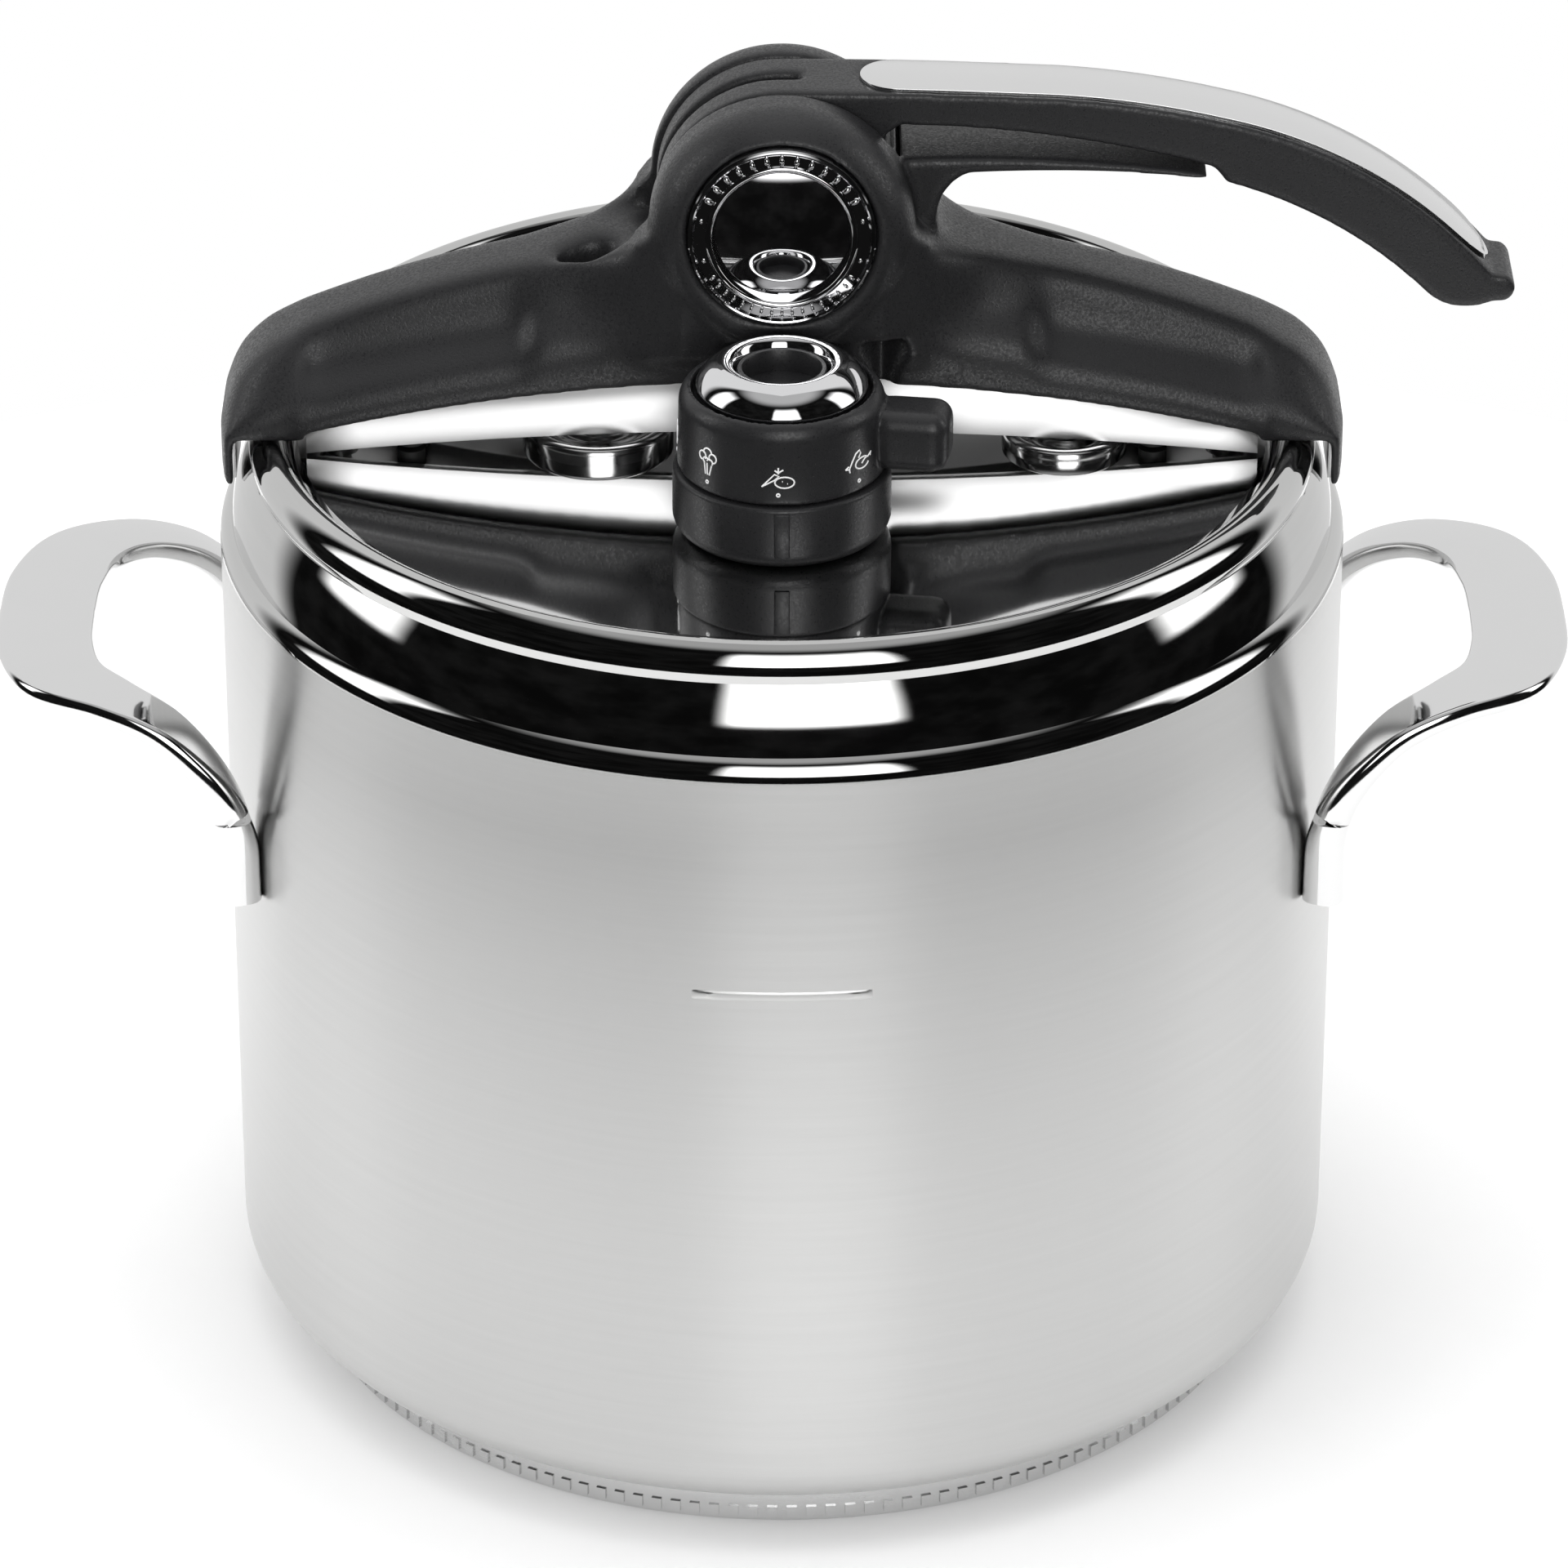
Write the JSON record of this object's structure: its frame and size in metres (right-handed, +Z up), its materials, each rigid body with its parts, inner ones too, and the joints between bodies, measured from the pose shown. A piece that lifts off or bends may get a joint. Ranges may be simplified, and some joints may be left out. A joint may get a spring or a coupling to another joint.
{
  "type": "stovetop pressure cooker",
  "caption": "Tall steel stovetop pressure cooker with an inner lid, a black bridge whose lever lifts the lid shut, a pressure selector and two strap handles.",
  "frame": {"origin": "centre of the pot's base on the surface it stands on", "axes": "+Z up along the pot's axis, +X along the bridge towards the shut lever's grip, -Y towards the pressure selector"},
  "size_m": [0.3164, 0.2254, 0.2721],
  "materials": {
    "satin_steel": "fine vertical satin, polished to a mirror on the rim",
    "mirror_steel": "mirror polished stainless steel",
    "bead_blasted_steel": "satin bead-blasted stainless steel",
    "aluminium": "plain",
    "chrome": "bright chrome",
    "black_moulding": "finely grained black phenolic moulding",
    "black_rubber": "soft matte",
    "grey_silicone": "smooth silicone",
    "brass": "turned",
    "signal_pin": "light grey gloss"
  },
  "bodies": {
    "pot": {"pot_body": "satin_steel", "base_core": "aluminium", "base_cap": "satin_steel", "handle_left": "mirror_steel", "handle_right": "mirror_steel"},
    "bridge": {"bridge_beam": "bead_blasted_steel", "pivot_bracket": "bead_blasted_steel", "bridge_cover": "black_moulding", "medallion": "chrome", "rear_cap": "black_moulding", "pivot_pin": "bead_blasted_steel", "pin_clip": "bead_blasted_steel", "cover_screws": "bead_blasted_steel", "beam_buffers": "black_rubber"},
    "lever": {"lever_body": "black_moulding", "lever_inlay": "mirror_steel", "lever_cam": "bead_blasted_steel"},
    "lid": {"lid_disc": "mirror_steel", "lid_gasket": "grey_silicone", "centre_stud": "bead_blasted_steel", "stud_washer": "bead_blasted_steel", "stud_nut": "bead_blasted_steel", "lift_plate": "bead_blasted_steel", "stud_pin": "bead_blasted_steel", "interlock_cup": "chrome", "relief_body": "chrome", "relief_nut": "bead_blasted_steel", "relief_spring": "bead_blasted_steel", "valve_base": "black_moulding", "valve_seal": "grey_silicone", "valve_stem": "brass", "valve_nut": "bead_blasted_steel", "valve_spring": "bead_blasted_steel"},
    "dial": {"valve_dial": "black_moulding"},
    "vent": {"valve_needle": "black_moulding", "valve_cap": "chrome"},
    "indicator": {"indicator_pin": "signal_pin", "indicator_seal": "grey_silicone"},
    "relief": {"relief_plunger": "brass"}
  },
  "joints": [
    {"name": "lid_turn", "type": "hinge", "parent": "pot", "child": "bridge", "pos_m": [0, 0, 0.2], "axis": [0, 0, 1], "continuous": true},
    {"name": "lever_hinge", "type": "hinge", "parent": "bridge", "child": "lever", "pos_m": [0, 0, 0.247], "axis": [0, -1, 0], "range_deg": [0, 110]},
    {"name": "lid_drop", "type": "slide", "parent": "bridge", "child": "lid", "axis": [0, 0, -1], "range_m": [0, 0.004]},
    {"name": "dial_turn", "type": "hinge", "parent": "lid", "child": "dial", "pos_m": [0, -0.0463, 0.215], "axis": [0, 0, 1], "range_deg": [-47, 45]},
    {"name": "vent_lift", "type": "slide", "parent": "lid", "child": "vent", "axis": [0, 0, 1], "range_m": [0, 0.003], "stiffness_N_per_m": 500, "springref_m": -0.004, "deforming": ["valve_spring"]},
    {"name": "indicator_rise", "type": "slide", "parent": "lid", "child": "indicator", "axis": [0, 0, 1], "range_m": [0, 0.0048]},
    {"name": "relief_lift", "type": "slide", "parent": "lid", "child": "relief", "axis": [0, 0, 1], "range_m": [0, 0.0015], "stiffness_N_per_m": 2000, "springref_m": -0.003, "deforming": ["relief_spring"]}
  ],
  "couplings": [
    {"joint": "lid_drop", "follows": "lever_hinge", "m_per_rad": 0.002083}
  ]
}
